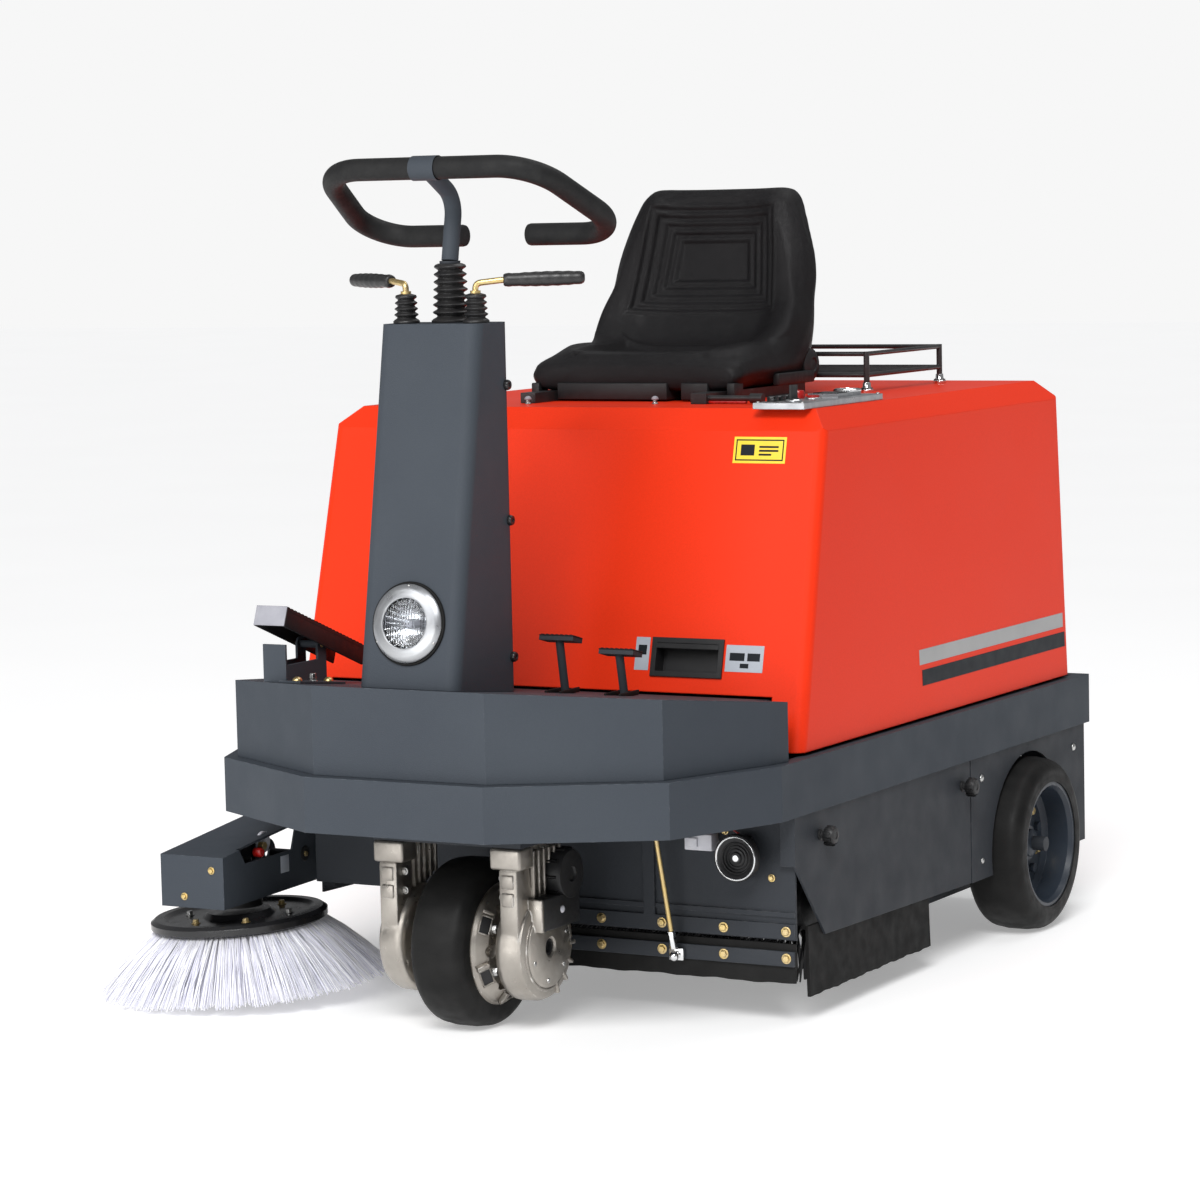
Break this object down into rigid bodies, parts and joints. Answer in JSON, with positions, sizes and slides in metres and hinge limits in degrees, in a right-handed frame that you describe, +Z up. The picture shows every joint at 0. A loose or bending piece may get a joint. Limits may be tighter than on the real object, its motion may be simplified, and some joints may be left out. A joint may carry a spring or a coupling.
{
  "type": "ride on sweeper",
  "caption": "Three-wheel ride-on floor sweeper with steering column, open handlebar, seat on a tilting hood, side brush, main brush and rear hopper.",
  "frame": {"origin": "middle of the machine's footprint box, on the floor", "axes": "+Y runs from the front wheel to the rear, +X is the machine's left, +Z is up"},
  "size_m": [1.2487, 1.5818, 1.35],
  "materials": {
    "body_grey": "fine textured powder coat",
    "chassis_grey": "satin powder coat",
    "hood_red": "gloss powder coat",
    "black_plastic": "moulded plastic",
    "black_rubber": "moulded rubber",
    "tyre_black": "solid tyre rubber",
    "cast_alloy": "as cast",
    "rim_blue": "gloss paint",
    "steel": "machined",
    "zinc_yellow": "yellow passivated zinc",
    "chrome": "polished chrome",
    "black_paint": "gloss black wire paint",
    "lamp_glass": "clear moulded glass",
    "bristle_white": "nylon bristles",
    "seat_vinyl": "black vinyl",
    "foam_black": "foam grip",
    "silver_panel": "printed silver panel",
    "red_plastic": "moulded"
  },
  "bodies": {
    "chassis": {"main_frame": "chassis_grey", "front_bumper": "body_grey", "foot_deck": "body_grey", "column_cover": "body_grey", "headlight_bezel": "chrome", "headlight_lens": "lamp_glass", "front_bulkhead": "chassis_grey", "side_panels": "chassis_grey", "side_skirts": "black_rubber", "rear_plates": "chassis_grey", "machine_screws": "zinc_yellow", "horn": "black_plastic", "battery_pack": "black_plastic", "fan_housing": "chassis_grey", "brush_motor": "black_plastic", "pedal_bracket": "body_grey", "rubber_boots": "black_rubber"},
    "fan": {"fan_impeller": "black_plastic"},
    "pulley": {"motor_pulley": "steel"},
    "steering": {"handlebar_grip": "foam_black", "steering_stem": "body_grey", "fork_crown": "chassis_grey", "fork_left": "cast_alloy", "fork_right": "cast_alloy", "drive_motor": "black_plastic"},
    "front_wheel": {"front_tyre": "tyre_black", "front_hub": "cast_alloy"},
    "rear_wheel_left": {"rear_tyre_left": "tyre_black", "rear_rim_left": "rim_blue"},
    "rear_wheel_right": {"rear_tyre_right": "tyre_black", "rear_rim_right": "rim_blue"},
    "brush_arms": {"main_brush_arms": "chassis_grey", "drive_belt": "black_rubber"},
    "main_brush": {"main_brush_core": "black_plastic", "main_brush_bristles": "bristle_white"},
    "side_arm": {"side_brush_arm": "body_grey", "side_brush_motor": "black_plastic"},
    "side_brush": {"side_brush_plate": "black_plastic", "side_brush_bristles": "bristle_white"},
    "lever_l": {"lever_left": "zinc_yellow"},
    "lever_r": {"lever_right": "zinc_yellow"},
    "accelerator": {"drive_pedal": "black_plastic"},
    "brake": {"brake_pedal": "chassis_grey"},
    "flap_foot": {"flap_pedal": "chassis_grey"},
    "lift_rod": {"flap_lift_rod": "zinc_yellow"},
    "flap": {"front_flap": "black_rubber"},
    "hood": {"hood_shell": "hood_red", "hood_handle": "black_plastic", "rack": "black_paint", "seat_rails": "black_paint", "control_panel": "silver_panel"},
    "key": {"key_switch": "black_plastic"},
    "button": {"push_button": "red_plastic"},
    "seat": {"seat_cushion": "seat_vinyl", "seat_backrest": "seat_vinyl"},
    "hopper": {"hopper_bin": "chassis_grey"},
    "knob_lf": {"knob_left_front": "black_plastic"},
    "knob_lr": {"knob_left_rear": "black_plastic"},
    "knob_rf": {"knob_right_front": "black_plastic"},
    "knob_rr": {"knob_right_rear": "black_plastic"}
  },
  "joints": [
    {"name": "steering", "type": "hinge", "parent": "chassis", "child": "steering", "pos_m": [0.1065, -0.5826, 0.3], "axis": [0, 0, 1], "range_deg": [-75, 75]},
    {"name": "front_wheel_spin", "type": "hinge", "parent": "steering", "child": "front_wheel", "pos_m": [0.1065, -0.5586, 0.132], "axis": [1, 0, 0], "continuous": true},
    {"name": "rear_wheel_left_spin", "type": "hinge", "parent": "chassis", "child": "rear_wheel_left", "pos_m": [0.5835, 0.5194, 0.15], "axis": [1, 0, 0], "continuous": true},
    {"name": "rear_wheel_right_spin", "type": "hinge", "parent": "chassis", "child": "rear_wheel_right", "pos_m": [-0.3705, 0.5194, 0.15], "axis": [1, 0, 0], "continuous": true},
    {"name": "lever_left_pull", "type": "hinge", "parent": "chassis", "child": "lever_l", "pos_m": [0.1685, -0.6126, 1.118], "axis": [-1, 0, 0], "range_deg": [0, 18]},
    {"name": "lever_right_pull", "type": "hinge", "parent": "chassis", "child": "lever_r", "pos_m": [0.0445, -0.6126, 1.118], "axis": [-1, 0, 0], "range_deg": [0, 18]},
    {"name": "main_brush_lift", "type": "hinge", "parent": "chassis", "child": "brush_arms", "pos_m": [0.1065, 0.1594, 0.262], "axis": [-1, 0, 0], "range_deg": [0, 12]},
    {"name": "main_brush_spin", "type": "hinge", "parent": "brush_arms", "child": "main_brush", "pos_m": [0.1065, -0.0706, 0.14], "axis": [1, 0, 0], "continuous": true},
    {"name": "motor_pulley_spin", "type": "hinge", "parent": "chassis", "child": "pulley", "pos_m": [0.4885, 0.1594, 0.262], "axis": [1, 0, 0], "continuous": true},
    {"name": "side_brush_lift", "type": "hinge", "parent": "chassis", "child": "side_arm", "pos_m": [-0.4005, -0.3026, 0.198], "axis": [-1, 0, 0], "range_deg": [0, 15]},
    {"name": "side_brush_spin", "type": "hinge", "parent": "side_arm", "child": "side_brush", "pos_m": [-0.39031, -0.48185, 0.1245], "axis": [-0.0533, -0.0298, 0.9981], "continuous": true},
    {"name": "drive_pedal_rock", "type": "hinge", "parent": "chassis", "child": "accelerator", "pos_m": [-0.1655, -0.5876, 0.592], "axis": [1, 0, 0], "range_deg": [-8, 6], "stiffness_Nm_per_rad": 20},
    {"name": "brake_pedal_press", "type": "hinge", "parent": "chassis", "child": "brake", "pos_m": [0.2365, -0.4756, 0.465], "axis": [1, 0, 0], "range_deg": [0, 15], "stiffness_Nm_per_rad": 20},
    {"name": "flap_pedal_press", "type": "hinge", "parent": "chassis", "child": "flap_foot", "pos_m": [0.3415, -0.4756, 0.465], "axis": [1, 0, 0], "range_deg": [0, 15], "stiffness_Nm_per_rad": 20},
    {"name": "flap_rod_lift", "type": "slide", "parent": "chassis", "child": "lift_rod", "axis": [-0.1002, -0.1067, 0.9892], "range_m": [0, 0.0105]},
    {"name": "front_flap_swing", "type": "hinge", "parent": "chassis", "child": "flap", "pos_m": [0.2265, -0.3836, 0.131], "axis": [-1, 0, 0], "range_deg": [0, 20]},
    {"name": "hood_tilt", "type": "hinge", "parent": "chassis", "child": "hood", "pos_m": [0.1065, 0.7344, 0.431], "axis": [-1, 0, 0], "range_deg": [0, 60]},
    {"name": "seat_slide", "type": "slide", "parent": "hood", "child": "seat", "axis": [0, 1, 0], "range_m": [-0.1, 0]},
    {"name": "key_turn", "type": "hinge", "parent": "hood", "child": "key", "pos_m": [0.4785, -0.1606, 0.955], "axis": [0, 0, 1], "range_deg": [0, 90]},
    {"name": "button_press", "type": "slide", "parent": "hood", "child": "button", "axis": [0, 0, -1], "range_m": [0, 0.003], "stiffness_N_per_m": 300},
    {"name": "hopper_slide", "type": "slide", "parent": "chassis", "child": "hopper", "axis": [0, 1, 0], "range_m": [0, 0.45]},
    {"name": "fan_spin", "type": "hinge", "parent": "chassis", "child": "fan", "pos_m": [0.1065, 0.4994, 0.5], "axis": [0, 0, 1], "continuous": true},
    {"name": "knob_lf_turn", "type": "hinge", "parent": "chassis", "child": "knob_lf", "pos_m": [0.5965, -0.3056, 0.289], "axis": [1, 0, 0], "continuous": true},
    {"name": "knob_lr_turn", "type": "hinge", "parent": "chassis", "child": "knob_lr", "pos_m": [0.5965, 0.2364, 0.289], "axis": [1, 0, 0], "continuous": true},
    {"name": "knob_rf_turn", "type": "hinge", "parent": "chassis", "child": "knob_rf", "pos_m": [-0.3835, -0.2106, 0.289], "axis": [1, 0, 0], "continuous": true},
    {"name": "knob_rr_turn", "type": "hinge", "parent": "chassis", "child": "knob_rr", "pos_m": [-0.3835, 0.2364, 0.289], "axis": [1, 0, 0], "continuous": true}
  ],
  "couplings": [
    {"joint": "main_brush_lift", "follows": "lever_left_pull", "ratio": 0.66667},
    {"joint": "side_brush_lift", "follows": "lever_right_pull", "ratio": 0.83333},
    {"joint": "motor_pulley_spin", "follows": "main_brush_spin", "ratio": 1.7857},
    {"joint": "flap_rod_lift", "follows": "flap_pedal_press", "m_per_rad": 0.040107},
    {"joint": "front_flap_swing", "follows": "flap_pedal_press", "ratio": 1.3333}
  ]
}
